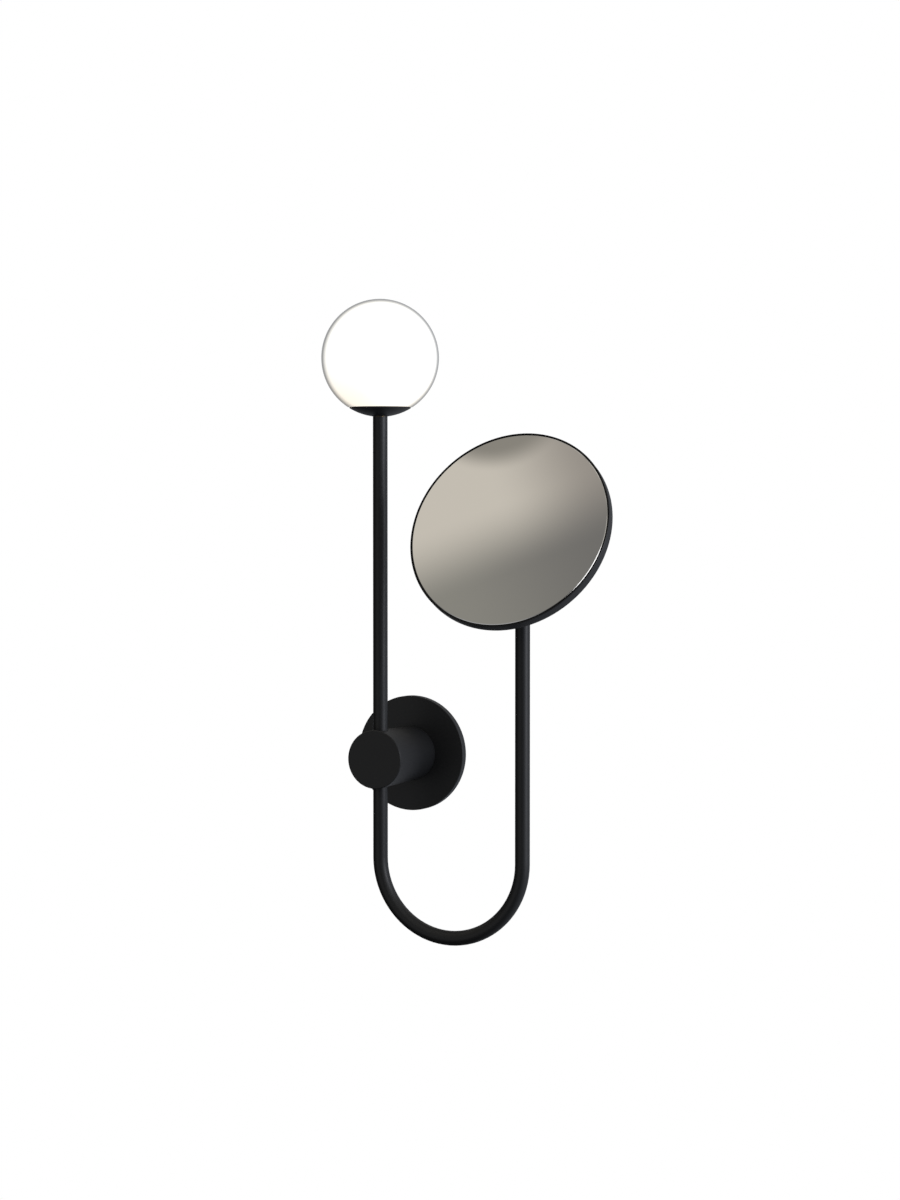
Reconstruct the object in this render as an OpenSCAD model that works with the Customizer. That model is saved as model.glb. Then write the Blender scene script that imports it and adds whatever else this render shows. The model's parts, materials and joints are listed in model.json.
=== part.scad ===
// Wall-mounted swing-arm shaving mirror with a globe lamp.
// A round wall plate carries a round boss. A bent tube turns in the boss on a vertical axis.
// Its long leg holds the lamp, and its short leg holds a mirror that swivels and tilts.
// The wall is the plane y = 0, the object stands out towards -Y, and +Z is up.
// The origin is the centre of the wall plate's back, where it meets the wall.

/* [Wall plate] */
// Diameter of the round wall plate
wall_plate_d = 120; // [110:1:150]
// Depth of the wall plate's rim, from the wall to its face
wall_plate_depth = 8; // [7:0.1:12]
// Thickness of the wall plate's sheet
sheet_t = 2; // [1.5:0.1:2.4]
// Distance between the two wall screws
screw_spacing = 80; // [76:0.5:86]
// Diameter of a wall screw's hole
screw_hole_d = 5.2; // [4:0.1:6]

/* [Boss] */
// Diameter of the boss at its front
boss_front_d = 60; // [50:1:75]
// Diameter of the boss at the wall plate
boss_back_d = 56.4; // [47:0.2:70]
// Length of the boss, from the wall plate's face to its own front
boss_len = 87; // [75:1:110]
// Thickness of the boss's wall
boss_wall = 3.5; // [2.5:0.1:4]
// Chamfer round the boss's front edge
boss_chamfer = 0.7; // [0.3:0.1:1]
// Thickness of the cap in the boss's front
cap_t = 4; // [3:0.1:6]

/* [Arm] */
// Outer diameter of the arm's tube
tube_d = 15; // [11.6:0.2:17]
// Wall of the arm's tube
tube_wall = 2; // [1.6:0.1:2.2]
// Distance between the tube's two legs, centre to centre
leg_spacing = 158; // [130:1:200]
// Drop from the boss's axis to the centre of the tube's bend
bend_drop = 101; // [50:1:140]

/* [Lamp] */
// Height of the globe's centre above the boss's axis
lamp_rise = 409.5; // [330:0.5:500]
// Outer diameter of the glass globe
globe_d = 120; // [98:1:150]
// Wall of the glass globe
globe_wall = 2.5; // [2:0.1:3.5]
// Diameter of the cup's rim under the globe
cup_d = 62.6; // [56:0.2:72]
// Thickness of the cup's sheet
cup_t = 2; // [1.5:0.1:2.5]

/* [Mirror] */
// Height of the mirror's tilt axis above the boss's axis
mirror_rise = 219.5; // [180:0.5:265]
// Outer diameter of the mirror's round dish
mirror_d = 211; // [170:1:252]
// Depth of the dish, from its back to the front of its rim
mirror_depth = 11.6; // [10:0.1:16]
// Thickness of the dish's sheet
rim_t = 2; // [1.2:0.1:2.2]
// Thickness of the mirror glass
glass_t = 4; // [3:0.1:5]
// Width of the polished bevel round the glass
glass_bevel = 1.4; // [0.5:0.1:4]
// Distance from the tilt axis to the back of the dish
hinge_stand = 27.9; // [25:0.1:36]
// Tilt of the mirror at rest, upwards from facing straight out
tilt_rest = 25.4; // [0:0.1:40]

/* [Fits and fasteners] */
// Radial clearance of a part that turns on or in another
run_clear = 0.05; // [0.02:0.01:0.08]
// Gap between parts that only pass each other
free_gap = 0.3; // [0.2:0.05:0.4]
// Shank diameter of the larger machine screws
screw_d = 4; // [3:0.5:4.5]
// Diameter of the grub screws
grub_d = 3; // [2.5:0.5:4]
// Diameter of the screw that the mirror tilts on
tilt_screw_d = 5; // [4:0.5:5.5]
// Diameter of the mains lead's sheath inside the arm
lead_d = 4.4; // [3.6:0.1:5]
// Bore of the grommet that the supply cable comes in through
inlet_d = 9; // [7:0.5:9.5]

/* [Hidden] */
$fn = 96;
// A cut runs this far past the face that it opens
over = 1;

// Screw heads: shares of a button head taken by its crown and its hexagon socket
crown_share = 0.45;
socket_share = 0.5;
// A grub screw's socket: its depth, and its corner radius as a share of the screw
grub_socket = 1;
grub_key_share = 0.28;

// Colours
black_paint = "#232426";
steel = "#b4b6b8";
brass = "#c8a24a";
nylon = "#d9d7cf";
rubber = "#2b2b2d";
cable = "#e6e6e3";

// Wall plate and bracket, as distances out from the wall
plate_r = wall_plate_d / 2;
plate_back = wall_plate_depth - sheet_t;
plate_inner_r = plate_r - sheet_t;
bracket_r = plate_inner_r - free_gap;
bracket_t = 2;
bracket_pad_t = 2.5;
bracket_step = 1.2;
bracket_pad_r = screw_spacing / 2 + 8;
bracket_hole_r = screw_spacing / 2 - 8;
bracket_flange_top = plate_back - 0.4;
gasket_gap = 0.5;
plate_grub_z = (bracket_step + bracket_t + bracket_flange_top) / 2;
plate_edge = 0.5;
plate_grub_angles = [240, 300];

// Boss, as distances out from the wall
boss_front = wall_plate_depth + boss_len;
rear_bore_r = boss_back_d / 2 - boss_wall;
front_bore_r = boss_front_d / 2 - boss_wall - 1;
cap_edge = 0.5;
cap_r = boss_front_d / 2 - boss_chamfer - cap_edge;
post_r = 5;
post_merge = 0.8;
post_orbit = rear_bore_r - post_r + post_merge;
post_len = 14;
post_angles = [90, 210, 330];
screw_reach = 10;

// Arm axis and what turns on it
tube_r = tube_d / 2;
tube_bore_r = tube_r - tube_wall;
collar_r = tube_r + 2.5;
collar_h = 8;
front_gap = 0.65;
arm_reach = boss_front - cap_t - front_gap - collar_r;
// The chamber in the boss is this high each way from the boss's axis
chamber_roof = 13;
chamber_half = boss_front_d / 2 - chamber_roof;
bush_r = tube_r + 1.5;
bush_len = 8;
bush_flange_r = collar_r + 0.2;
bush_flange_t = 1.5;
washer_t = 1;
collar_z = -chamber_half + bush_flange_t + washer_t;
clip_t = 1;
clip_z = chamber_half - bush_flange_t - free_gap - clip_t;
clip_groove = 0.6;
// The lead enters the tube midway between the collar and the clip
lead_r = lead_d / 2;
lead_z = (collar_z + collar_h + clip_z) / 2;
slot_r = lead_r + 1.4;

// Stops: a lug on the collar meets a fixed pin at each end of the swing
swing_min = -10;
swing_max = 190;
pin_r = 1.5;
pin_sink = 5;
pin_orbit = collar_r + 2;
lug_w = 4;
lug_reach = pin_orbit + 1.4;
stop_gap = 0.1;
stop_angle = asin((pin_r + lug_w / 2 + stop_gap) / pin_orbit);
chamber_back = arm_reach - lug_reach - 1;

// Supply side
block_w = 22;
block_h = 12;
block_depth = 14;
block_screw_depth = 8;
wire_hole_r = 1.4;
wire_hole_depth = 5;
wire_spacing = 12;
wire_rows = 6;
inlet_r = inlet_d / 2;
grommet_r = inlet_r + 2;
grommet_flange_r = grommet_r + 1.5;
grommet_flange_t = 1;
inlet_drop = rear_bore_r - grommet_flange_r - 1.7;
terminal_screw_r = 1.5;
earth_orbit = 24;
earth_angle = 30;
earth_nut_t = 3;
earth_r = 2;
earth_nut_r = 4.04;
earth_stick_out = 4.6;
earth_nut_gap = 0.6;

// Supply lead: out of the block, sideways by an S-bend, then round into the tube's slot
lead_turn_r = 8;
lead_shift = tube_r + lead_turn_r + 1;
lead_bend_r = 20;
lead_bend_angle = acos(1 - lead_shift / (2 * lead_bend_r));
lead_start = wall_plate_depth + block_depth;
lead_turn_y = arm_reach - lead_turn_r;
lead_straight = 6;
lead_bend_start = lead_turn_y - lead_straight - 2 * lead_bend_r * sin(lead_bend_angle);
lead_end_x = tube_bore_r - 0.4;

// Lamp
globe_r = globe_d / 2;
cup_r = cup_d / 2;
chord_z = to_hundredth(lamp_rise - sqrt(globe_r * globe_r - cup_r * cup_r));
tube_top = to_hundredth(lamp_rise - sqrt(globe_r * globe_r - tube_r * tube_r));
cup_floor = tube_top + cup_t;
cup_floor_r = 10;
seal_t = 0.8;
globe_cut = chord_z + seal_t;
globe_inner_r = globe_r - globe_wall;
mouth_r = sqrt(pow(globe_inner_r, 2) - pow(lamp_rise - globe_cut, 2));
ledge_t = 1.5;
neck_h = 8;
neck_wall = 1.4;
neck_r = mouth_r - 2.3;
clip_w = 6;
clip_sheet = 0.5;
clip_lift = 2;
nipple_r = tube_bore_r;
nipple_bore_r = nipple_r - 1.4;
nipple_sink = 12;
lock_t = 1;
nut_t = 4;
nut_r = nipple_r + 3.1;
holder_z = cup_floor + lock_t + nut_t;
holder_thread = 5;
nipple_top = holder_z + holder_thread;
holder_r = 10.5;
holder_base_h = 9;
holder_h = 22;
pin_spacing = 9;
pin_wire_r = 0.9;
pin_depth = 8;
bulb_r = 8;
bulb_base_h = 10;
bulb_h = 26;
bulb_z = holder_z + holder_h;

// Swivel, as heights from the tilt axis
swivel_shoulder = 9.5;
swivel_body = 6.5;
swivel_washer_t = 0.8;
insert_flange_t = 2;
insert_len = 14;
swivel_r = 3;
swivel_clip_t = 0.8;
insert_top = -swivel_shoulder - swivel_body - swivel_washer_t;
mirror_leg_top = insert_top - insert_flange_t;
swivel_end = mirror_leg_top - insert_len;
tang_t = 6;
tang_r = tube_r;

// Mirror head, as distances along the mirror's normal from the tilt axis
tilt_r = tilt_screw_d / 2;
tilt_washer_t = 0.6;
ear_in = tang_t / 2 + tilt_washer_t;
ear_t = 3;
ear_r = tube_r;
base_t = 2.5;
base_r = 22;
base_screw_orbit = 16;
base_screw_angles = [45, 135, 225, 315];
backing_t = 2.5;
backing_r = 26;
dish_r = mirror_d / 2;
dish_floor = hinge_stand + rim_t;
mirror_front = hinge_stand + mirror_depth;
glass_gap = 0.2;
glass_r = dish_r - rim_t - glass_gap;
pad_r = glass_r - 3;
dish_edge = 0.5;
bevel_depth = 0.8;

// A worked-out height is kept to a hundredth of a millimetre, so faces that meet share it exactly
function to_hundredth(size) = round(size * 100) / 100;

// Points local z away from the wall and local y up
module out_from_wall() {
    rotate([90, 0, 0])
        children();
}

// Puts the origin on the arm's vertical axis
module at_arm() {
    translate([0, -arm_reach, 0])
        children();
}

// Puts the origin on the tilt axis, above the mirror's leg
module at_hinge() {
    translate([leg_spacing, -arm_reach, mirror_rise])
        children();
}

// Points local z along the mirror's normal and local y up the glass
module mirror_frame() {
    at_hinge()
        rotate([90 - tilt_rest, 0, 0])
            children();
}

// A cylinder along z between two heights
module rod(r, from, to) {
    translate([0, 0, from])
        cylinder(r = r, h = to - from);
}

// A round ring along z between two heights
module ring(r_in, r_out, from, to) {
    difference() {
        rod(r_out, from, to);
        rod(r_in, from - over, to + over);
    }
}

// A hexagon nut with a round bore
module hex_nut(corner_r, bore_r, from, to) {
    difference() {
        translate([0, 0, from])
            cylinder(r = corner_r, h = to - from, $fn = 6);
        rod(bore_r, from - over, to + over);
    }
}

// A button-head screw: its head is below z = 0, and its shank runs up to reach
module pan_screw(shank_r, head_r, head_h, reach) {
    crown = head_h * crown_share;
    difference() {
        union() {
            translate([0, 0, -head_h])
                cylinder(r1 = head_r - crown, r2 = head_r, h = crown);
            rod(head_r, crown - head_h, 0);
            rod(shank_r, -head_h, reach);
        }
        translate([0, 0, -head_h - over])
            cylinder(r = head_r * socket_share, h = over + head_h * socket_share, $fn = 6);
    }
}

// A grub screw along +x between two radii, with a hexagon socket in its outer end
module grub_screw(from, to) {
    rotate([0, 90, 0])
        difference() {
            rod(grub_d / 2, from, to);
            translate([0, 0, to - grub_socket])
                cylinder(r = grub_d * grub_key_share, h = grub_socket + over, $fn = 6);
        }
}

// ---- Wall unit ----

module mounting_bracket() {
    color(steel)
        out_from_wall()
            difference() {
                union() {
                    rod(bracket_pad_r, 0, bracket_pad_t);
                    rod(bracket_r, bracket_step, bracket_step + bracket_t);
                    ring(bracket_r - bracket_t, bracket_r, bracket_step, bracket_flange_top);
                }
                rod(bracket_hole_r, -over, wall_plate_depth);
                for (side = [-1, 1])
                    translate([side * screw_spacing / 2, 0, 0])
                        rod(screw_hole_d / 2, -over, wall_plate_depth);
            }
}

module wall_gasket() {
    color(rubber)
        out_from_wall()
            ring(bracket_pad_r + gasket_gap, bracket_r, 0, bracket_step);
}

module wall_plate() {
    color(black_paint)
        out_from_wall()
            difference() {
                union() {
                    rod(plate_r, 0, wall_plate_depth - plate_edge);
                    translate([0, 0, wall_plate_depth - plate_edge])
                        cylinder(r1 = plate_r, r2 = plate_r - plate_edge, h = plate_edge);
                }
                rod(plate_inner_r, -over, plate_back);
                for (a = post_angles)
                    rotate([0, 0, a])
                        translate([post_orbit, 0, 0])
                            rod(screw_d / 2 + 0.2, 0, wall_plate_depth + over);
                translate([0, -inlet_drop, 0])
                    rod(grommet_r, 0, wall_plate_depth + over);
                translate([0, lead_z, 0])
                    rod(terminal_screw_r + 0.2, 0, wall_plate_depth + over);
                for (a = plate_grub_angles)
                    rotate([0, 0, a])
                        translate([0, 0, plate_grub_z])
                            rotate([0, 90, 0])
                                rod(grub_d / 2, plate_inner_r - over, plate_r + over);
            }
}

module plate_grub_screws() {
    color(steel)
        out_from_wall()
            for (a = plate_grub_angles)
                rotate([0, 0, a])
                    translate([0, 0, plate_grub_z])
                        grub_screw(bracket_r, plate_r - 0.4);
}

// The boss: tapered outside, a round bore behind, and a flat-topped chamber in front
module boss_barrel() {
    color(black_paint)
        difference() {
            out_from_wall()
                difference() {
                    rotate_extrude()
                        polygon([
                            [0, wall_plate_depth],
                            [boss_back_d / 2, wall_plate_depth],
                            [boss_front_d / 2, boss_front - boss_chamfer],
                            [boss_front_d / 2 - boss_chamfer, boss_front],
                            [0, boss_front]
                        ]);
                    difference() {
                        rod(rear_bore_r, wall_plate_depth - over, chamber_back);
                        for (a = post_angles)
                            rotate([0, 0, a])
                                translate([post_orbit, 0, 0])
                                    rod(post_r, wall_plate_depth - 2 * over, wall_plate_depth + post_len);
                    }
                    intersection() {
                        rod(front_bore_r, chamber_back - over, boss_front);
                        translate([-boss_front_d, -chamber_half, 0])
                            cube([2 * boss_front_d, 2 * chamber_half, 2 * boss_front]);
                    }
                    rod(cap_r, boss_front - cap_t, boss_front + over);
                    for (a = post_angles)
                        rotate([0, 0, a])
                            translate([post_orbit, 0, 0])
                                rod(
                                    screw_d / 2,
                                    wall_plate_depth - over,
                                    wall_plate_depth + screw_reach + 1
                                );
                }
            at_arm() {
                rod(tube_r + free_gap, -boss_front_d, boss_front_d);
                rod(bush_r, -chamber_half - bush_len, chamber_half + bush_len);
                for (a = stop_pin_angles())
                    rotate([0, 0, a])
                        translate([pin_orbit, 0, 0])
                            rod(pin_r, -chamber_half - pin_sink, 0);
            }
        }
}

// Where the two stop pins stand: the lug points along -X at rest and turns clockwise from above
function stop_pin_angles() = [180 - swing_min + stop_angle, 180 - swing_max - stop_angle];

module boss_fixing_screws() {
    color(steel)
        out_from_wall()
            for (a = post_angles)
                rotate([0, 0, a])
                    translate([post_orbit, 0, plate_back])
                        pan_screw(screw_d / 2, screw_d * 0.95, 2.4, sheet_t + screw_reach);
}

module front_cap() {
    color(black_paint)
        out_from_wall()
            rod(cap_r, boss_front - cap_t, boss_front);
}

// A flanged bush, its flange towards the boss's axis
module bush() {
    difference() {
        union() {
            rod(bush_r, chamber_half - bush_flange_t, chamber_half + bush_len);
            rod(bush_flange_r, chamber_half - bush_flange_t, chamber_half);
        }
        rod(tube_r + run_clear, 0, chamber_half + bush_len + over);
    }
}

module upper_bush() {
    color(nylon)
        at_arm()
            bush();
}

module lower_bush() {
    color(nylon)
        at_arm()
            mirror([0, 0, 1])
                bush();
}

module thrust_washer() {
    color(brass)
        at_arm()
            ring(tube_r + free_gap, bush_flange_r, collar_z - washer_t, collar_z);
}

module stop_pins() {
    color(steel)
        at_arm()
            for (a = stop_pin_angles())
                rotate([0, 0, a])
                    translate([pin_orbit, 0, 0])
                        rod(pin_r, -chamber_half - pin_sink, collar_z + collar_h);
}

module terminal_block() {
    color(nylon)
        out_from_wall()
            difference() {
                translate([-block_w / 2, lead_z - block_h / 2, wall_plate_depth])
                    cube([block_w, block_h, block_depth]);
                translate([0, lead_z, 0])
                    rod(terminal_screw_r, 0, wall_plate_depth + block_screw_depth);
                for (side = [-1, 1], level = [-1, 1])
                    translate([side * wire_spacing / 2, lead_z + level * wire_rows / 2, 0])
                        rod(wire_hole_r, wall_plate_depth + block_depth - wire_hole_depth,
                            wall_plate_depth + block_depth + over);
            }
}

module terminal_screw() {
    color(steel)
        out_from_wall()
            translate([0, lead_z, plate_back])
                pan_screw(terminal_screw_r, 3, 1.8, sheet_t + 7);
}

module cable_grommet() {
    color(rubber)
        out_from_wall()
            translate([0, -inlet_drop, 0]) {
                ring(
                    inlet_r,
                    grommet_r,
                    plate_back - grommet_flange_t,
                    wall_plate_depth + grommet_flange_t
                );
                ring(grommet_r - 0.5, grommet_flange_r, plate_back - grommet_flange_t, plate_back);
                ring(
                    grommet_r - 0.5,
                    grommet_flange_r,
                    wall_plate_depth,
                    wall_plate_depth + grommet_flange_t
                );
            }
}

module at_earth() {
    out_from_wall()
        rotate([0, 0, earth_angle])
            translate([earth_orbit, 0, 0])
                children();
}

module earth_stud() {
    color(brass)
        at_earth()
            rod(earth_r, plate_back - earth_stick_out, plate_back);
}

module earth_nut() {
    color(brass)
        at_earth()
            hex_nut(
                earth_nut_r,
                earth_r,
                plate_back - earth_nut_gap - earth_nut_t,
                plate_back - earth_nut_gap
            );
}

// The part of the supply lead that flexes as the arm swings
module supply_lead() {
    color(cable)
        translate([0, 0, lead_z])
            level_hose(lead_route(), lead_r, 12);
}

// Points along an arc, as [x, y, heading], where turn is positive to the left
function arc(centre, r, from, turn, steps) = [
    for (i = [1 : steps])
        let (a = from + turn * i / steps)
            [centre[0] + r * cos(a), centre[1] + r * sin(a), a + sign(turn) * 90]
];

// The flexing lead's centre line, from the terminal block to the inside of the tube
function lead_route() = concat(
    [[0, -lead_start, -90], [0, -lead_bend_start, -90]],
    arc([-lead_bend_r, -lead_bend_start], lead_bend_r, 0, -lead_bend_angle, 7),
    arc([lead_bend_r - lead_shift, lead_straight - lead_turn_y], lead_bend_r,
        180 - lead_bend_angle, lead_bend_angle, 7),
    arc([lead_turn_r - lead_shift, -lead_turn_y], lead_turn_r, 180, 90, 9),
    [[-lead_end_x, -arm_reach, 0]]
);

// A round hose of one radius along a level route of [x, y, heading] points
module level_hose(route, r, sides) {
    rings = len(route);
    points = [
        for (p = route, k = [0 : sides - 1])
            let (across = r * cos(360 * k / sides))
                [p[0] + across * sin(p[2]), p[1] - across * cos(p[2]), r * sin(360 * k / sides)]
    ];
    walls = [
        for (i = [0 : rings - 2], k = [0 : sides - 1])
            let (next = (k + 1) % sides)
                [i * sides + k, (i + 1) * sides + k, (i + 1) * sides + next, i * sides + next]
    ];
    first_end = [for (k = [0 : sides - 1]) k];
    last_end = [for (k = [sides - 1 : -1 : 0]) (rings - 1) * sides + k];
    polyhedron(points, concat(walls, [first_end, last_end]));
}

// ---- Arm and lamp ----

// The centre line of the bent tube as a solid of one radius
module bent_tube(r, lamp_end, mirror_end) {
    rod(r, -bend_drop, lamp_end);
    translate([leg_spacing, 0, 0])
        rod(r, -bend_drop, mirror_end);
    translate([leg_spacing / 2, 0, -bend_drop])
        rotate([90, 0, 0])
            rotate([0, 0, 180])
                rotate_extrude(angle = 180)
                    translate([leg_spacing / 2, 0])
                        circle(r = r);
}

module arm_tube() {
    color(black_paint)
        at_arm()
            difference() {
                bent_tube(tube_r, tube_top, mirror_rise + mirror_leg_top);
                bent_tube(tube_bore_r, tube_top + over, mirror_rise + mirror_leg_top + over);
                ring(tube_r - clip_groove, tube_r + over, clip_z, clip_z + clip_t);
                translate([0, 0, lead_z])
                    rotate([0, -90, 0])
                        rod(slot_r, 0, tube_r + over);
            }
}

module stop_collar() {
    color(steel)
        at_arm()
            difference() {
                union() {
                    rod(collar_r, collar_z, collar_z + collar_h);
                    translate([-lug_reach, -lug_w / 2, collar_z])
                        cube([lug_reach - tube_r - 1, lug_w, collar_h]);
                }
                rod(tube_r, collar_z - over, collar_z + collar_h + over);
                collar_screw_places()
                    rod(grub_d / 2, tube_r - 1, collar_r + over);
            }
}

// The two grub screws of the collar, with local z pointing outwards
module collar_screw_places() {
    for (a = [-60, 60])
        rotate([0, 0, a])
            translate([0, 0, collar_z + collar_h / 2])
                rotate([0, 90, 0])
                    children();
}

module collar_grub_screws() {
    color(steel)
        at_arm()
            collar_screw_places()
                rotate([0, -90, 0])
                    grub_screw(tube_r, collar_r - 0.3);
}

module retaining_clip() {
    color(steel)
        at_arm()
            difference() {
                ring(tube_r - clip_groove, tube_r + 1.8, clip_z, clip_z + clip_t);
                translate([0, -2, clip_z - over])
                    cube([2 * tube_r, 4, clip_t + 2 * over]);
            }
}

module slot_grommet() {
    color(rubber)
        at_arm()
            translate([0, 0, lead_z])
                rotate([0, -90, 0]) {
                    ring(lead_r, slot_r, lead_end_x, tube_r + 0.6);
                    ring(slot_r - 0.5, slot_r + 1, tube_r, tube_r + 0.6);
                }
}

module lamp_lead() {
    color(cable)
        at_arm() {
            rod(lead_r, lead_z, nipple_top);
            translate([0, 0, lead_z]) {
                sphere(r = lead_r);
                rotate([0, -90, 0])
                    rod(lead_r, 0, lead_end_x);
            }
        }
}

module lamp_nipple() {
    color(brass)
        at_arm()
            ring(nipple_bore_r, nipple_r, tube_top - nipple_sink, nipple_top);
}

module lock_washer() {
    color(steel)
        at_arm()
            ring(nipple_r + 0.1, nut_r + 0.4, cup_floor, cup_floor + lock_t);
}

module nipple_nut() {
    color(brass)
        at_arm()
            hex_nut(nut_r, nipple_r, cup_floor + lock_t, holder_z);
}

// The cup continues the globe's sphere, with a flat land on the tube's end and a neck into the globe
module lamp_cup() {
    color(black_paint)
        at_arm() {
            difference() {
                intersection() {
                    translate([0, 0, lamp_rise])
                        sphere(r = globe_r);
                    rod(globe_r, tube_top, chord_z);
                }
                intersection() {
                    translate([0, 0, lamp_rise])
                        sphere(r = globe_r - cup_t);
                    rod(globe_r, cup_floor, chord_z - ledge_t);
                }
                rod(cup_floor_r, cup_floor, cup_floor + 3);
                rod(neck_r - neck_wall, chord_z - ledge_t - over, chord_z + over);
                rod(nipple_r, tube_top - over, cup_floor + over);
            }
            ring(neck_r - neck_wall, neck_r, chord_z - ledge_t, chord_z + neck_h);
        }
}

module globe_seal() {
    color(rubber)
        at_arm()
            ring(mouth_r, cup_r, chord_z, globe_cut);
}

// Three bent strips on the neck that hook over the globe's mouth
module globe_clips() {
    color(steel)
        at_arm()
            for (a = [0, 120, 240])
                rotate([0, 0, a])
                    translate([neck_r, -clip_w / 2, chord_z + clip_lift]) {
                        cube([clip_sheet, clip_w, neck_h - clip_lift - 0.4]);
                        cube([mouth_r - neck_r + 1.3, clip_w, clip_sheet]);
                    }
}

module lampholder() {
    color("#efece4")
        at_arm()
            difference() {
                union() {
                    rod(holder_r, holder_z, holder_z + holder_base_h);
                    translate([-holder_r + 1, -6, holder_z + holder_base_h])
                        cube([2 * holder_r - 2, 12, holder_h - holder_base_h]);
                }
                rod(nipple_r, holder_z - over, nipple_top);
                for (side = [-1, 1])
                    translate([side * pin_spacing / 2, 0, 0])
                        rod(pin_wire_r, bulb_z - pin_depth, bulb_z + over);
            }
}

module bulb() {
    color("#fbf8ee")
        at_arm() {
            rod(bulb_r - 1, bulb_z, bulb_z + bulb_base_h);
            rod(bulb_r, bulb_z + bulb_base_h, bulb_z + bulb_base_h + bulb_h);
            translate([0, 0, bulb_z + bulb_base_h + bulb_h])
                sphere(r = bulb_r);
        }
}

module bulb_pins() {
    color(steel)
        at_arm()
            for (side = [-1, 1])
                translate([side * pin_spacing / 2, 0, 0])
                    rod(pin_wire_r, bulb_z - pin_depth, bulb_z);
}

module globe() {
    color("#fdfcf6")
        at_arm()
            difference() {
                translate([0, 0, lamp_rise])
                    sphere(r = globe_r);
                translate([0, 0, lamp_rise])
                    sphere(r = globe_inner_r);
                rod(globe_r, lamp_rise - globe_d, globe_cut);
            }
}

module end_insert() {
    color(brass)
        at_hinge()
            difference() {
                union() {
                    rod(tube_bore_r, swivel_end, mirror_leg_top);
                    rod(tube_r, mirror_leg_top, insert_top);
                }
                rod(swivel_r + run_clear, swivel_end - over, insert_top + over);
            }
}

// ---- Swivel ----

module swivel_post() {
    color(black_paint)
        at_hinge()
            difference() {
                union() {
                    rod(swivel_r, swivel_end - swivel_clip_t - 2, -swivel_shoulder);
                    rod(tube_r, -swivel_shoulder - swivel_body, -swivel_shoulder);
                    translate([-tang_t / 2, 0, 0]) {
                        rotate([0, 90, 0])
                            cylinder(r = tang_r, h = tang_t);
                        intersection() {
                            translate([0, -tang_r, -swivel_shoulder - over])
                                cube([tang_t, 2 * tang_r, swivel_shoulder + over]);
                            translate([tang_t / 2, 0, 0])
                                rod(tube_r, -swivel_shoulder - over, over);
                        }
                    }
                }
                rotate([0, 90, 0])
                    rod(tilt_r + run_clear, -tang_t, tang_t);
                ring(swivel_r - 0.8, swivel_r + over, swivel_end - swivel_clip_t - 0.2, swivel_end - 0.2);
            }
}

module swivel_washer() {
    color(nylon)
        at_hinge()
            ring(swivel_r + 0.1, tube_r - 0.3, insert_top, insert_top + swivel_washer_t);
}

module swivel_clip() {
    color(steel)
        at_hinge()
            difference() {
                ring(swivel_r - 0.8, tube_bore_r - 0.4, swivel_end - swivel_clip_t - 0.2, swivel_end - 0.2);
                translate([0, -1.5, swivel_end - 5])
                    cube([2 * tube_r, 3, 10]);
            }
}

// ---- Mirror head ----

module tilt_screw() {
    color(steel)
        at_hinge()
            rotate([0, -90, 0])
                translate([0, 0, -ear_in - ear_t])
                    pan_screw(tilt_r, tilt_screw_d * 0.85, 2.8, 2 * (ear_in + ear_t) + 4);
}

module tilt_nut() {
    color(steel)
        at_hinge()
            rotate([0, -90, 0])
                hex_nut(tilt_screw_d * 0.924, tilt_r, ear_in + ear_t, ear_in + ear_t + 3.6);
}

module tilt_washers() {
    color(nylon)
        at_hinge()
            rotate([0, 90, 0])
                for (side = [0, 1])
                    mirror([0, 0, side])
                        ring(tilt_r + run_clear, ear_r - 0.6, tang_t / 2, ear_in);
}

// A round base on the dish and two ears that straddle the swivel's tang
module mirror_bracket() {
    color(black_paint)
        mirror_frame()
            difference() {
                union() {
                    rod(base_r, hinge_stand - base_t, hinge_stand);
                    for (side = [0, 1])
                        mirror([side, 0, 0])
                            translate([ear_in, 0, 0]) {
                                rotate([0, 90, 0])
                                    cylinder(r = ear_r, h = ear_t);
                                translate([0, -ear_r, 0])
                                    cube([ear_t, 2 * ear_r, hinge_stand - base_t + 0.5]);
                            }
                }
                rotate([0, 90, 0])
                    rod(tilt_r, -base_r, base_r);
                base_screw_places()
                    rod(screw_d / 2, hinge_stand - base_t - over, hinge_stand + over);
            }
}

module base_screw_places() {
    for (a = base_screw_angles)
        rotate([0, 0, a])
            translate([base_screw_orbit, 0, 0])
                children();
}

module bracket_screws() {
    color(steel)
        mirror_frame()
            base_screw_places()
                translate([0, 0, hinge_stand - base_t])
                    pan_screw(screw_d / 2, screw_d * 0.85, 2.2, base_t + rim_t + backing_t);
}

module backing_plate() {
    color(steel)
        mirror_frame()
            difference() {
                rod(backing_r, dish_floor, dish_floor + backing_t);
                base_screw_places()
                    rod(screw_d / 2, dish_floor - over, dish_floor + backing_t + over);
            }
}

module mirror_dish() {
    color(black_paint)
        mirror_frame()
            difference() {
                rotate_extrude()
                    polygon([
                        [0, hinge_stand],
                        [dish_r - dish_edge, hinge_stand],
                        [dish_r, hinge_stand + dish_edge],
                        [dish_r, mirror_front - dish_edge],
                        [dish_r - dish_edge, mirror_front],
                        [0, mirror_front]
                    ]);
                rod(dish_r - rim_t, dish_floor, mirror_front + over);
                base_screw_places()
                    rod(screw_d / 2, hinge_stand - over, dish_floor + over);
            }
}

module mirror_pad() {
    color("#5a5a58")
        mirror_frame()
            difference() {
                rod(pad_r, dish_floor, mirror_front - glass_t);
                rod(backing_r + free_gap, dish_floor - over, dish_floor + backing_t);
            }
}

module mirror_glass() {
    color("#c9c6bf")
        mirror_frame()
            rotate_extrude()
                polygon([
                    [0, mirror_front - glass_t],
                    [glass_r, mirror_front - glass_t],
                    [glass_r, mirror_front - bevel_depth],
                    [glass_r - glass_bevel, mirror_front],
                    [0, mirror_front]
                ]);
}

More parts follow.
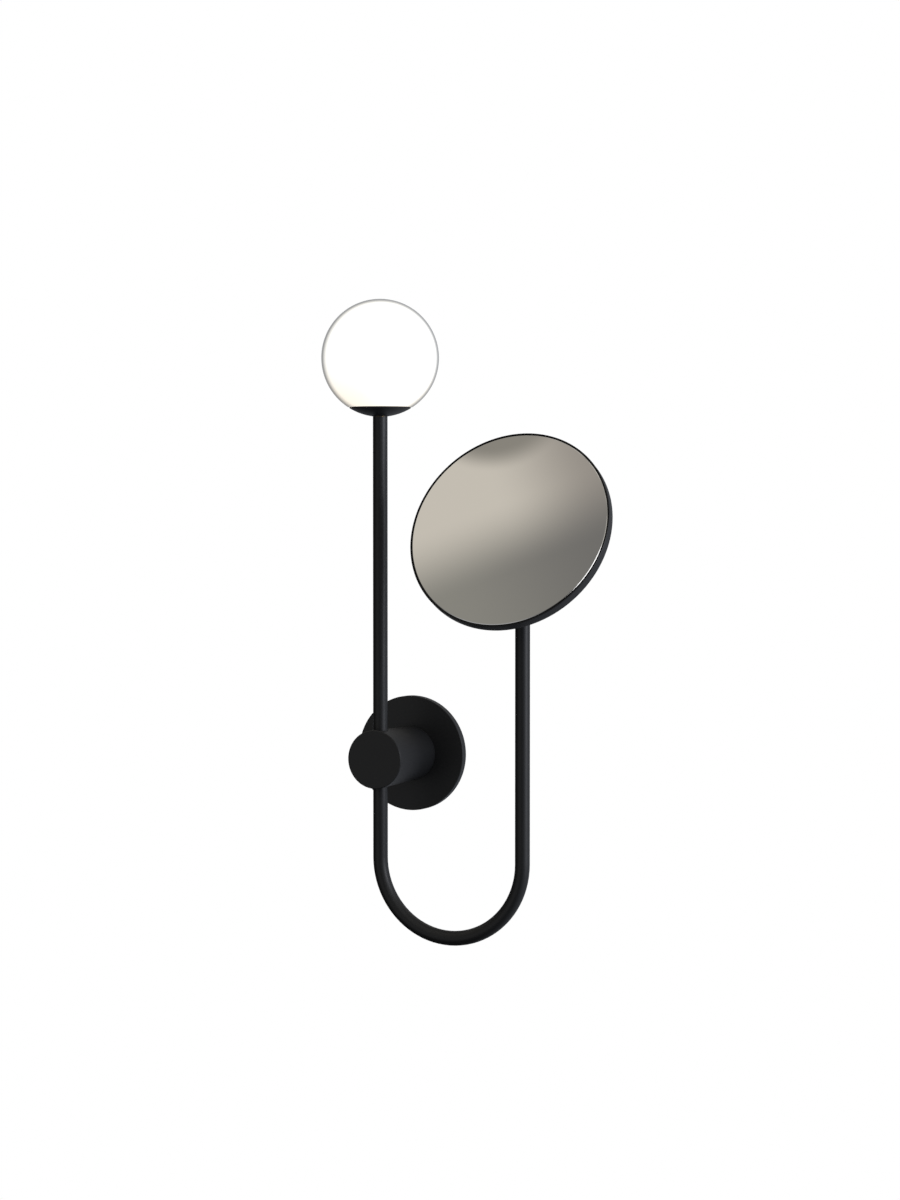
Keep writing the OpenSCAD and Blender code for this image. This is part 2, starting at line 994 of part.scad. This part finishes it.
mounting_bracket();
wall_gasket();
wall_plate();
plate_grub_screws();
boss_barrel();
boss_fixing_screws();
front_cap();
upper_bush();
lower_bush();
thrust_washer();
stop_pins();
terminal_block();
terminal_screw();
cable_grommet();
earth_stud();
earth_nut();
supply_lead();
arm_tube();
stop_collar();
collar_grub_screws();
retaining_clip();
slot_grommet();
lamp_lead();
lamp_nipple();
lock_washer();
nipple_nut();
lamp_cup();
globe_seal();
globe_clips();
lampholder();
bulb();
bulb_pins();
globe();
end_insert();
swivel_post();
swivel_washer();
swivel_clip();
tilt_screw();
tilt_nut();
tilt_washers();
mirror_bracket();
bracket_screws();
backing_plate();
mirror_dish();
mirror_pad();
mirror_glass();
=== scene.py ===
import json
import math

import bmesh
import bpy
import mathutils
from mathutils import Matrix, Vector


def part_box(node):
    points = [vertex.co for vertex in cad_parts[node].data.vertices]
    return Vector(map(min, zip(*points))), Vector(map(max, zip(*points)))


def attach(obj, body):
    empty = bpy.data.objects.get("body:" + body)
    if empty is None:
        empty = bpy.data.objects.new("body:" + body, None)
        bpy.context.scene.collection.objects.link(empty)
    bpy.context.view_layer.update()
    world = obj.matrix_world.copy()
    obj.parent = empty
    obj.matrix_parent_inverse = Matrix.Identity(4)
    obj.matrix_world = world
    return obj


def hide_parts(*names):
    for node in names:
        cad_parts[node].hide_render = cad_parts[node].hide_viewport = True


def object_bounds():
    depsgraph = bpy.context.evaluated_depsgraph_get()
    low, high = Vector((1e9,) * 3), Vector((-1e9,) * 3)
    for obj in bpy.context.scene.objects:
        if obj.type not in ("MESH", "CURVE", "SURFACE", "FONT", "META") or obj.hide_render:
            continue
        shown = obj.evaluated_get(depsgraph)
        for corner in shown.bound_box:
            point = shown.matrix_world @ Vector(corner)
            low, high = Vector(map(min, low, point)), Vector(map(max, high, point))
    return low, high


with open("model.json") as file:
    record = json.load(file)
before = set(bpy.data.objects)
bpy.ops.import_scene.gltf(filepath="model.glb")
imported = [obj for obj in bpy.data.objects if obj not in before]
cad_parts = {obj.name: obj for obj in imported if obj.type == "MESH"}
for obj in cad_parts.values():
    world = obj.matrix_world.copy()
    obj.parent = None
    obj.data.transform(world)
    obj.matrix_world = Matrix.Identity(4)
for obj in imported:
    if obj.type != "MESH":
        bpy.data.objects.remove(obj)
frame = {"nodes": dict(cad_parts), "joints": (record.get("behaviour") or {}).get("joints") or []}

CAD_BOX = [list(corner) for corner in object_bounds()]
nodes = frame["nodes"]


# ---- Camera ----
# A long lens about three metres away, to the right of the object and level with its mirror.
# It looks slightly down, so the top of the boss and the right of the wall plate's rim just show.
camera_data = bpy.data.cameras.new("camera")
camera_data.sensor_width = 36.0
camera_data.lens = 88.7
camera = bpy.data.objects.new("camera", camera_data)
camera.location = (1.3136, -2.8025, 0.2675)
camera.rotation_euler = (math.radians(90 - 1.99), 0, math.radians(24.41))
bpy.context.scene.collection.objects.link(camera)
bpy.context.scene.camera = camera
bpy.context.scene.view_settings.view_transform = "Standard"


# ---- Floor ----
# A round of pale painted board, well below the object, which hangs on a wall that isn't drawn.
# It is staged, so it isn't part of the object, and it lies outside the camera's own view.
FLOOR_DROP = 1.0
FLOOR_RADIUS = 2.6


def linear(hex_colour):
    """An sRGB hex colour as linear numbers, with an alpha of 1."""
    channels = [int(hex_colour[i:i + 2], 16) / 255 for i in (1, 3, 5)]
    return tuple(c / 12.92 if c <= 0.04045 else ((c + 0.055) / 1.055) ** 2.4
                 for c in channels) + (1.0,)


def new_material(name):
    """An empty node material and its tree."""
    made = bpy.data.materials.new(name)
    made.use_nodes = True
    made.node_tree.nodes.clear()
    return made, made.node_tree


def add_node(tree, kind, values=None, links=None, **settings):
    """Adds one node: settings are its choices, values its sockets, and links what feeds them."""
    made = tree.nodes.new(kind)
    for name, setting in settings.items():
        setattr(made, name, setting)
    for socket, value in (values or {}).items():
        made.inputs[socket].default_value = value
    for socket, source in (links or {}).items():
        tree.links.new(source, made.inputs[socket])
    return made


def grain(tree, scale, detail):
    """Noise that stays with the piece, as a socket. Scale is in cells to the metre."""
    place = add_node(tree, "ShaderNodeTexCoord")
    return add_node(tree, "ShaderNodeTexNoise", {"Scale": scale, "Detail": detail},
                    {"Vector": place.outputs["Object"]}).outputs["Fac"]


def mottle(tree, share, first, second):
    """A socket for one colour, given as hex or as a socket, going over into another."""
    values, links = {}, {"Factor": share}
    for socket, tone in (("A", first), ("B", second)):
        if isinstance(tone, str):
            values[socket] = linear(tone)
        else:
            links[socket] = tone
    return add_node(tree, "ShaderNodeMix", values, links, data_type="RGBA").outputs["Result"]


def surface(tree, values, links):
    """The material's surface, which ends its tree."""
    shader = add_node(tree, "ShaderNodeBsdfPrincipled", values, links)
    add_node(tree, "ShaderNodeOutputMaterial", links={"Surface": shader.outputs[0]})


def deselect_all():
    """Leaves nothing selected."""
    for picked in list(bpy.context.selected_objects):
        picked.select_set(False)


# Emulsion paint: matt, with a faint unevenness from the roller, about 25 mm across.
floor_paint, tree = new_material("matt emulsion paint")
cloud = grain(tree, 40.0, 3.0)
tone = mottle(tree, cloud, "#e9e8e6", "#e2e1df")
surface(tree, {"Roughness": 0.8}, {"Base Color": tone})

deselect_all()
bpy.ops.mesh.primitive_circle_add(vertices=96, radius=FLOOR_RADIUS, fill_type="NGON",
                                  location=(0, 0, CAD_BOX[0][2] - FLOOR_DROP))
floor = bpy.context.object
floor.name = "floor"
floor.data.materials.append(floor_paint)
floor.visible_diffuse = False
floor.visible_glossy = False


# ---- Light ----
# A soft light from the right, so faces turned to +X are the lightest, as beside a bathroom window.
# A smaller one in front on the right lifts the front faces and makes the glint in the bevel.
def soft_light(name, width, height, roll, power, spot, colour):
    """A soft oval light at a spot, aimed at the middle of the object and rolled about its aim."""
    lamp = bpy.data.lights.new(name, "AREA")
    lamp.shape = "ELLIPSE"
    lamp.size = width
    lamp.size_y = height
    lamp.energy = power
    lamp.color = linear(colour)[:3]
    holder = bpy.data.objects.new(name, lamp)
    holder.location = spot
    aim = (mathutils.Vector(CAD_BOX[0]) + mathutils.Vector(CAD_BOX[1])) / 2 - holder.location
    turn = aim.to_track_quat("-Z", "Y") @ mathutils.Quaternion((0, 0, 1), math.radians(roll))
    holder.rotation_euler = turn.to_euler()
    bpy.context.scene.collection.objects.link(holder)


soft_light("window_light", 1.2, 1.2, 0, 23, (2.4, -0.25, 0.5), "#f3f6ff")
soft_light("front_light", 0.32, 1.0, -36, 1.2, (1.2, -1.64, 0.86), "#fdfdff")

# The floor has a lamp of its own, which faces down just above it, and lights nothing else.
FLOOR_LAMP_DROP = 0.4
FLOOR_LAMP_POWER = 70
floor_lamp = bpy.data.lights.new("floor_light", "AREA")
floor_lamp.shape = "DISK"
floor_lamp.size = 2 * FLOOR_RADIUS
floor_lamp.energy = FLOOR_LAMP_POWER
floor_holder = bpy.data.objects.new("floor_light", floor_lamp)
floor_holder.location = (0, 0, CAD_BOX[0][2] - FLOOR_LAMP_DROP)
bpy.context.scene.collection.objects.link(floor_holder)

# The room is dim on the left and paler on the right and behind, under a ceiling with soft clouds
# of light. High up in front is a pale patch with soft edges, which the mirror picks up.
world = bpy.data.worlds.new("room")
bpy.context.scene.world = world
world.use_nodes = True
tree = world.node_tree
tree.nodes.clear()
look = add_node(tree, "ShaderNodeTexCoord")


def ease(tree, value, start, end):
    """A socket that goes softly from 0 to 1 as the value goes from start to end."""
    return add_node(tree, "ShaderNodeMapRange", {"From Min": start, "From Max": end},
                    {"Value": value}, interpolation_type="SMOOTHSTEP").outputs["Result"]


def room_blend(bearing, start, end, dark, light):
    """Blends two colours, or sockets, as the line of sight turns towards a bearing."""
    towards = add_node(tree, "ShaderNodeVectorMath", {1: bearing}, {0: look.outputs["Generated"]},
                       operation="DOT_PRODUCT")
    return mottle(tree, ease(tree, towards.outputs["Value"], start, end), dark, light)


# Bearings from the mirror: to the patch, along and across its soft edge, and to its shaded top.
PATCH = (-0.3951, -0.5888, 0.7051)
PATCH_ALONG = (0.8436, 0.0298, 0.5362)
PATCH_ACROSS = (-0.3432, 0.7979, 0.4956)
PATCH_SHADE = (-0.4009, -0.5484, 0.7338)
sides = room_blend((0.86, 0.50, 0.0), -0.20, 0.90, "#2d2c2c", "#aeb2ba")
facing = room_blend((-0.42, -0.90, -0.10), 0.80, 0.99, sides, "#a5a5a5")
walls = room_blend((-0.17, 0.98, 0.0), 0.55, 0.98, facing, "#9a9da3")
cloud = add_node(tree, "ShaderNodeTexNoise", {"Scale": 6.0, "Detail": 1.0},
                 {"Vector": look.outputs["Generated"]})
ceiling = mottle(tree, ease(tree, cloud.outputs["Fac"], 0.35, 0.65), "#7d7b76", "#cdc9c1")
overhead = room_blend((0.0, -0.10, 0.99), 0.20, 0.75, walls, ceiling)
below = room_blend(PATCH_ALONG, -0.006, 0.060, "#8a8984", "#727170")
above = room_blend(PATCH_ALONG, 0.026, 0.063, "#c9c4bc", "#9a9590")
sloping = room_blend(PATCH_ACROSS, 0.0005, 0.0252, below, above)
shaded = room_blend(PATCH_SHADE, 0.99950, 0.99972, sloping, "#8b8882")
view = room_blend(PATCH, 0.975, 0.994, overhead, shaded)
room = add_node(tree, "ShaderNodeBackground", links={"Color": view})
paper = add_node(tree, "ShaderNodeBackground", {"Color": linear("#ffffff")})
ray = add_node(tree, "ShaderNodeLightPath")
seen = add_node(tree, "ShaderNodeMixShader",
                links={0: ray.outputs["Is Camera Ray"], 1: room.outputs[0], 2: paper.outputs[0]})
add_node(tree, "ShaderNodeOutputWorld", links={"Surface": seen.outputs[0]})


# ---- Wall plate, boss, cap, arm and hinge ----
# The steel cover plate, the bored boss with its pressed-in cap, the bent tube that turns in it, and
# the hinge's swivel post and bracket. All are powder coated after forming and share one finish.
def between(tree, share, low, high):
    """A socket for a number that goes from low to high."""
    return add_node(tree, "ShaderNodeMapRange", {"To Min": low, "To Max": high},
                    {"Value": share}).outputs["Result"]


def dress(material, *names):
    """Gives carried CAD nodes a material in place of their own."""
    for name in names:
        nodes[name].data.materials.clear()
        nodes[name].data.materials.append(material)


# Polyester powder coat: matt, nearly black, with a fine orange-peel skin. Its cells are about
# 0.5 mm across on the real thing, and are drawn at 1.5 mm so that they show.
black_coat, tree = new_material("matt black powder coat")
skin = grain(tree, 650.0, 2.0)
drift = grain(tree, 22.0, 3.0)
shade = mottle(tree, drift, "#17181a", "#1f2022")
sheen = between(tree, drift, 0.40, 0.52)
peel = add_node(tree, "ShaderNodeBump", {"Strength": 0.25, "Distance": 0.0002}, {"Height": skin})
surface(tree, {"IOR": 1.5}, {
    "Base Color": shade, "Roughness": sheen, "Normal": peel.outputs["Normal"]})

dress(black_coat, "wall_plate", "boss_barrel", "front_cap", "arm_tube", "swivel_post",
      "mirror_bracket")


# ---- Steel fittings ----
# Pressed and turned steel pieces inside: the wall bracket, screws, pins, clips and backing plate.
# They are zinc plated and passivated, which leaves a pale grey, slightly cloudy metal.
zinc, tree = new_material("bright zinc plated steel")
cloud = grain(tree, 180.0, 4.0)
tone = mottle(tree, cloud, "#a9adb3", "#c6c8ca")
gloss = between(tree, cloud, 0.24, 0.42)
surface(tree, {"Metallic": 1.0}, {"Base Color": tone, "Roughness": gloss})
dress(zinc, "mounting_bracket", "plate_grub_screws", "boss_fixing_screws", "stop_pins",
      "terminal_screw", "stop_collar", "collar_grub_screws", "retaining_clip", "lock_washer",
      "globe_clips", "bulb_pins", "swivel_clip", "backing_plate")


# ---- Brass pieces ----
# The earth terminal, the hollow threaded nipple and its nut, the thrust washer and the end insert.
# They are turned from bar and left bare, so the yellow is a little dulled in places.
brass, tree = new_material("turned brass")
dulling = grain(tree, 60.0, 5.0)
tone = mottle(tree, dulling, "#b98f3e", "#d3ad5c")
gloss = between(tree, dulling, 0.2, 0.36)
surface(tree, {"Metallic": 1.0}, {"Base Color": tone, "Roughness": gloss})
dress(brass, "thrust_washer", "earth_stud", "earth_nut", "lamp_nipple", "nipple_nut", "end_insert")


# ---- Bushes, washers and terminal block ----
# Injection moulded in natural nylon, which is milky, slightly waxy and a little translucent.
# The bushes guide the tube in the boss, and the washers keep the mirror's joints smooth.
nylon, tree = new_material("natural nylon")
flow = grain(tree, 90.0, 2.0)
tone = mottle(tree, flow, "#d8d4c8", "#e6e3da")
surface(tree, {
    "Roughness": 0.45, "IOR": 1.53, "Subsurface Weight": 0.1, "Subsurface Scale": 0.002},
    {"Base Color": tone})
dress(nylon, "upper_bush", "lower_bush", "swivel_washer", "tilt_washers", "terminal_block")


# ---- Rubber seals and grommets ----
# Moulded black rubber: the gasket on the wall, the seal under the globe and two cable grommets.
# It is dull, with a slight bloom that greys it in patches.
rubber, tree = new_material("black moulded rubber")
bloom = grain(tree, 120.0, 4.0)
tone = mottle(tree, bloom, "#1c1c1d", "#2a2a2b")
surface(tree, {"Roughness": 0.82, "IOR": 1.52}, {"Base Color": tone})
dress(rubber, "wall_gasket", "cable_grommet", "slot_grommet", "globe_seal")


# ---- Lead ----
# White PVC sheath round two cores: one length flexes in the boss and one runs up the tube.
# Extruded PVC is smooth and softly glossy, with slight scuffs from being drawn through the tube.
sheath, tree = new_material("white extruded PVC")
scuff = grain(tree, 300.0, 3.0)
gloss = between(tree, scuff, 0.35, 0.55)
surface(tree, {"Base Color": linear("#e4e4e0"), "IOR": 1.53}, {"Roughness": gloss})
dress(sheath, "supply_lead", "lamp_lead")


# ---- Lampholder and bulb ----
# A glazed steatite holder on the nipple, and a pin-base bulb with a frosted, lit envelope.
# Steatite is a dense ivory ceramic, and its glaze gives it a clear gloss. Its specks are finer on
# the real thing, and are drawn at 2 mm.
steatite, tree = new_material("glazed steatite")
speck = grain(tree, 500.0, 3.0)
tone = mottle(tree, speck, "#e9e4d6", "#f2eee4")
surface(tree, {"Roughness": 0.18, "IOR": 1.55}, {"Base Color": tone})
dress(steatite, "lampholder")

frosted, tree = new_material("frosted lit polycarbonate")
haze = grain(tree, 200.0, 2.0)
glow = mottle(tree, haze, "#fff3dd", "#fff9ee")
surface(tree, {
    "Base Color": linear("#fbf8ee"), "Roughness": 0.4, "Emission Strength": 1.5},
    {"Emission Color": glow})
dress(frosted, "bulb")


# ---- Lamp cup ----
# A steel cup spun to the same sphere as the globe, with a flat rim and a neck inside the globe.
# It sits on the tube's end and is powder coated with the rest.
def finish_piece(piece, body, slot, material, *replaced, crease=30):
    """Applies the piece's place, gives it its finish, and lets it ride in place of CAD nodes."""
    deselect_all()
    piece.select_set(True)
    bpy.context.view_layer.objects.active = piece
    bpy.ops.object.transform_apply(location=True, rotation=True, scale=True)
    if material:
        piece.data.materials.clear()
        piece.data.materials.append(material)
    bpy.ops.object.shade_smooth_by_angle(angle=math.radians(crease))
    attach(piece, body)
    if replaced:
        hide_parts(*replaced)


def pick(piece, kind, test):
    """In edit mode, selects the corners, edges or faces that pass a test."""
    bpy.ops.mesh.select_mode(type=kind)
    bpy.ops.mesh.select_all(action="DESELECT")
    mesh = bmesh.from_edit_mesh(piece.data)
    for item in {"VERT": mesh.verts, "EDGE": mesh.edges, "FACE": mesh.faces}[kind]:
        if test(item):
            item.select_set(True)
    mesh.select_flush_mode()
    bmesh.update_edit_mesh(piece.data)


def apply_modifier(piece, kind, **settings):
    """Adds one modifier with its settings and applies it."""
    made = piece.modifiers.new(kind.lower(), kind)
    for name, setting in settings.items():
        setattr(made, name, setting)
    bpy.ops.object.modifier_apply(modifier=made.name)


def middle(item):
    """The middle of an edge or face."""
    corners = [corner.co for corner in item.verts]
    return sum(corners[1:], corners[0].copy()) / len(corners)


SAME_PLACE = 1e-5
SHARP = math.radians(40)


def is_open_rim(edge, height):
    """Is this an edge of the open rim at a height?"""
    return edge.is_boundary and abs(middle(edge).z - height) < SAME_PLACE


globe_low, globe_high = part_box("globe")
cup_low, cup_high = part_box("lamp_cup")
seal_low, seal_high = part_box("globe_seal")
GLOBE_RADIUS = 0.060
lamp_centre = (0.0, (globe_low[1] + globe_high[1]) / 2, globe_high[2] - GLOBE_RADIUS)
CUP_SHEET = 0.0015
NECK_RADIUS = 0.02538
LAND_HOLE = 0.0051
CUP_EDGE = 0.0003

deselect_all()
bpy.ops.mesh.primitive_uv_sphere_add(segments=96, ring_count=120, radius=GLOBE_RADIUS,
                                     location=(0, 0, 0))
cup = bpy.context.object
cup.name = "spun_cup"
cup_rim = seal_low[2] - lamp_centre[2]
cup_land = cup_low[2] - lamp_centre[2]
bpy.ops.object.mode_set(mode="EDIT")
bpy.ops.mesh.select_all(action="SELECT")
bpy.ops.mesh.bisect(plane_co=(0, 0, cup_rim), plane_no=(0, 0, 1), clear_outer=True)
bpy.ops.mesh.select_all(action="SELECT")
bpy.ops.mesh.bisect(plane_co=(0, 0, cup_land), plane_no=(0, 0, 1), clear_inner=True)
rim_radius = math.sqrt(GLOBE_RADIUS ** 2 - cup_rim ** 2)
land_radius = math.sqrt(GLOBE_RADIUS ** 2 - cup_land ** 2)
pick(cup, "EDGE", lambda edge: is_open_rim(edge, cup_land))
bpy.ops.mesh.extrude_edges_move()
bpy.ops.transform.resize(value=(LAND_HOLE / land_radius, LAND_HOLE / land_radius, 1))
pick(cup, "EDGE", lambda edge: is_open_rim(edge, cup_rim))
bpy.ops.mesh.extrude_edges_move()
bpy.ops.transform.resize(value=(NECK_RADIUS / rim_radius, NECK_RADIUS / rim_radius, 1))
bpy.ops.mesh.extrude_edges_move(
    TRANSFORM_OT_translate={"value": (0, 0, cup_high[2] - seal_low[2])})
bpy.ops.mesh.select_all(action="SELECT")
bpy.ops.mesh.normals_make_consistent(inside=False)
bpy.ops.object.mode_set(mode="OBJECT")
apply_modifier(cup, "SOLIDIFY", thickness=CUP_SHEET, offset=-1.0, use_even_offset=True)
apply_modifier(cup, "BEVEL", width=CUP_EDGE, segments=2, limit_method="ANGLE", angle_limit=SHARP)
cup.location = lamp_centre
finish_piece(cup, "arm", "black_paint", black_coat, "lamp_cup")


# ---- Globe ----
# Blown three-layer opal glass in a clear casing, with a fire-polished mouth that sits on the seal.
# The bulb inside lights it evenly. It is a hair smaller than the CAD's, to stay inside its box.
GLOBE_WALL = 0.0025
GLOBE_TUCK = 2e-5
MOUTH_EDGE = 0.0008
deselect_all()
bpy.ops.mesh.primitive_uv_sphere_add(segments=128, ring_count=96, location=(0, 0, 0),
                                     radius=GLOBE_RADIUS - GLOBE_TUCK)
ball = bpy.context.object
ball.name = "opal_globe"
bpy.ops.object.mode_set(mode="EDIT")
bpy.ops.mesh.select_all(action="SELECT")
globe_mouth = seal_high[2] - lamp_centre[2]
bpy.ops.mesh.bisect(plane_co=(0, 0, globe_mouth), plane_no=(0, 0, 1), clear_inner=True)
bpy.ops.object.mode_set(mode="OBJECT")
apply_modifier(ball, "SOLIDIFY", thickness=GLOBE_WALL, offset=-1.0)
apply_modifier(ball, "BEVEL", width=MOUTH_EDGE, segments=3, limit_method="ANGLE",
               angle_limit=SHARP)
ball.location = lamp_centre

opal, tree = new_material("lit opal glass")
place = add_node(tree, "ShaderNodeTexCoord")
height = add_node(tree, "ShaderNodeSeparateXYZ", links={"Vector": place.outputs["Object"]})
near_bulb = ease(tree, height.outputs["Z"], globe_low[2], lamp_centre[2])
glow = mottle(tree, near_bulb, "#fff6e6", "#fffefa")
# Near the outline one looks through the clear casing alone, so the glow is dimmed there, and the
# base colour is painted grey by the viewing angle: a painted shade line along the outline.
casing = add_node(tree, "ShaderNodeLayerWeight", {"Blend": 0.5})
painted_outline_shade = ease(tree, casing.outputs["Facing"], 0.57, 0.85)
# The base colour goes from white to grey towards the outline: painted shade.
white = mottle(tree, painted_outline_shade, "#fbfaf4", "#747575")
# The glow is dimmed towards the outline by the same painted shade.
strength = add_node(tree, "ShaderNodeMath", {1: -0.78, 2: 1.03}, {0: painted_outline_shade},
                    operation="MULTIPLY_ADD")
surface(tree, {
    "Roughness": 0.25, "Coat Weight": 0.6, "Coat Roughness": 0.03, "Coat IOR": 1.5}, {
    "Base Color": white, "Emission Color": glow,
    "Emission Strength": strength.outputs["Value"]})
finish_piece(ball, "arm", "opal_glass", opal, "globe")

# The lamp is kept out of reflections, so that the mirror shows only the quiet room.
for lamp_piece in (cup, ball, *(nodes[name] for name in (
        "lamp_lead", "lamp_nipple", "lock_washer", "nipple_nut", "globe_seal", "globe_clips",
        "lampholder", "bulb", "bulb_pins"))):
    lamp_piece.visible_glossy = False


# ---- Mirror dish ----
# A shallow dish pressed from steel sheet: a flat back, a soft back edge and an upright rim.
# A pressed groove stiffens the back. The thinned lip leaves a dark gap round the glass.
tilt_joint = next(joint for joint in frame["joints"] if joint["name"] == "mirror_tilt")
hinge = tilt_joint["pos_m"]
MIRROR_TILT = math.radians(25.4)
HINGE_TO_DISH = 0.0279
DISH_RADIUS = 0.10548
DISH_DEPTH = 0.0116
DISH_SHEET = 0.002
DISH_TOP = HINGE_TO_DISH + DISH_DEPTH
LIP_WIDTH = 0.0009
LIP_DEPTH = 0.0026
LIP_CHAMFER = 0.0005
BACK_EDGE = 0.0025
GROOVE_IN = 0.012
GROOVE_FLAT = 0.004
GROOVE_SLOPE = 0.0015
GROOVE_DEPTH = 0.0008


def disc_on_mirror(name, radius, depth, low):
    """A plain disc along +Z, its heights measured from the tilt axis, left in edit mode."""
    deselect_all()
    bpy.ops.mesh.primitive_cylinder_add(vertices=192, radius=radius, depth=depth,
                                        location=(0, 0, low + depth / 2), end_fill_type="NGON")
    bpy.ops.object.transform_apply(location=True, rotation=False, scale=False)
    bpy.context.object.name = name
    bpy.ops.object.mode_set(mode="EDIT")
    return bpy.context.object


def place_on_mirror(piece):
    """Turns a piece modelled along +Z to the mirror's normal, with its origin on the tilt axis."""
    piece.location = hinge
    piece.rotation_euler = (math.pi / 2 - MIRROR_TILT, 0, 0)


def on_outer_edge(edge, height):
    """Does this edge lie on the dish's outline at a height?"""
    return all(abs(corner.co.xy.length - DISH_RADIUS) < SAME_PLACE
               and abs(corner.co.z - height) < SAME_PLACE for corner in edge.verts)


dish = disc_on_mirror("pressed_dish", DISH_RADIUS, DISH_DEPTH, HINGE_TO_DISH)
pick(dish, "FACE", lambda face: face.normal.z > 0.9)
bpy.ops.mesh.inset(thickness=LIP_WIDTH)
bpy.ops.mesh.extrude_region_move(TRANSFORM_OT_translate={"value": (0, 0, -LIP_DEPTH)})
bpy.ops.mesh.inset(thickness=DISH_SHEET - LIP_WIDTH)
bpy.ops.mesh.extrude_region_move(
    TRANSFORM_OT_translate={"value": (0, 0, DISH_SHEET + LIP_DEPTH - DISH_DEPTH)})
pick(dish, "FACE", lambda face: face.normal.z < -0.9)
bpy.ops.mesh.inset(thickness=GROOVE_IN)
bpy.ops.mesh.inset(thickness=GROOVE_SLOPE, depth=-GROOVE_DEPTH)
bpy.ops.mesh.inset(thickness=GROOVE_FLAT)
bpy.ops.mesh.inset(thickness=GROOVE_SLOPE, depth=GROOVE_DEPTH)
pick(dish, "EDGE", lambda edge: on_outer_edge(edge, HINGE_TO_DISH))
bpy.ops.mesh.bevel(offset=BACK_EDGE, segments=5)
pick(dish, "EDGE", lambda edge: on_outer_edge(edge, DISH_TOP))
bpy.ops.mesh.bevel(offset=LIP_CHAMFER, segments=1)
bpy.ops.object.mode_set(mode="OBJECT")
place_on_mirror(dish)
finish_piece(dish, "mirror_head", "black_paint", black_coat, "mirror_dish", crease=25)


# ---- Mirror glass ----
# Float glass 4 mm thick, silvered and painted on its back, with a narrow polished bevel in front.
# It is pressed onto a foam pad inside the dish, flush with the rim.
GLASS_RADIUS = 0.1033
GLASS_THICK = 0.004
BEVEL_WIDTH = 0.0006
BEVEL_DEPTH = 0.00034

# Silver behind clear glass: a near-perfect reflector, very slightly warm, with a trace of haze.
silvered, tree = new_material("silvered float glass")
haze = grain(tree, 9.0, 2.0)
polish = between(tree, haze, 0.0, 0.02)
surface(tree, {"Base Color": linear("#f8f6f1"), "Metallic": 1.0}, {"Roughness": polish})
# The bevel is polished on a felt wheel and is less true than the face, so its glint is soft.
bevel_polish, tree = new_material("polished glass bevel")
wheel = grain(tree, 60.0, 2.0)
polish = between(tree, wheel, 0.08, 0.22)
surface(tree, {"Base Color": linear("#f4f4f3"), "Metallic": 1.0}, {"Roughness": polish})
# Edge sealer: a dark brushed varnish over the ground edge, which keeps damp off the silver. Its
# near black also paints the gap round the glass dark, as painted shade.
sealer_and_painted_gap_shade, tree = new_material("black edge sealer and painted gap shade")
grit = grain(tree, 900.0, 2.0)
tone = mottle(tree, grit, "#0f1110", "#1b1e1d")
surface(tree, {"Roughness": 0.6}, {"Base Color": tone})

looking_glass = disc_on_mirror("bevelled_mirror", GLASS_RADIUS, GLASS_THICK - BEVEL_DEPTH,
                               DISH_TOP - GLASS_THICK)
pick(looking_glass, "FACE", lambda face: face.normal.z > 0.9)
bpy.ops.mesh.inset(thickness=BEVEL_WIDTH, depth=BEVEL_DEPTH)
bpy.ops.object.mode_set(mode="OBJECT")
# The edge and back take the near-black finish, which is partly painted shade for the gap round the
# glass.
for finish in (silvered, bevel_polish, sealer_and_painted_gap_shade):
    looking_glass.data.materials.append(finish)
for face in looking_glass.data.polygons:
    face.material_index = 0 if face.normal.z > 0.95 else 1 if face.normal.z > 0.3 else 2
place_on_mirror(looking_glass)
finish_piece(looking_glass, "mirror_head", "mirror_silver", None, "mirror_glass", crease=15)


# ---- Mirror pad ----
# A disc of closed-cell foam that the glass is bonded to, hidden inside the dish.
# Its cut face shows fine cells, which are under 0.5 mm on the real thing and drawn at 1 mm.
foam, tree = new_material("closed-cell grey foam")
place = add_node(tree, "ShaderNodeTexCoord")
cells = add_node(tree, "ShaderNodeTexVoronoi", {"Scale": 1000.0},
                 {"Vector": place.outputs["Object"]})
tone = mottle(tree, cells.outputs["Distance"], "#4b4b4a", "#676766")
surface(tree, {"Roughness": 0.9}, {"Base Color": tone})
dress(foam, "mirror_pad")


# ---- Mirror's screws ----
# Button-head socket screws hold the bracket to the dish, and a longer one is the tilt pivot.
# They are hardened steel with a black oxide finish, which is dark, thin and faintly metallic.
black_oxide, tree = new_material("black oxide steel")
wear = grain(tree, 400.0, 3.0)
tone = mottle(tree, wear, "#1d1e20", "#34363a")
gloss = between(tree, wear, 0.28, 0.45)
surface(tree, {"Metallic": 0.9}, {"Base Color": tone, "Roughness": gloss})
dress(black_oxide, "tilt_screw", "tilt_nut", "bracket_screws")
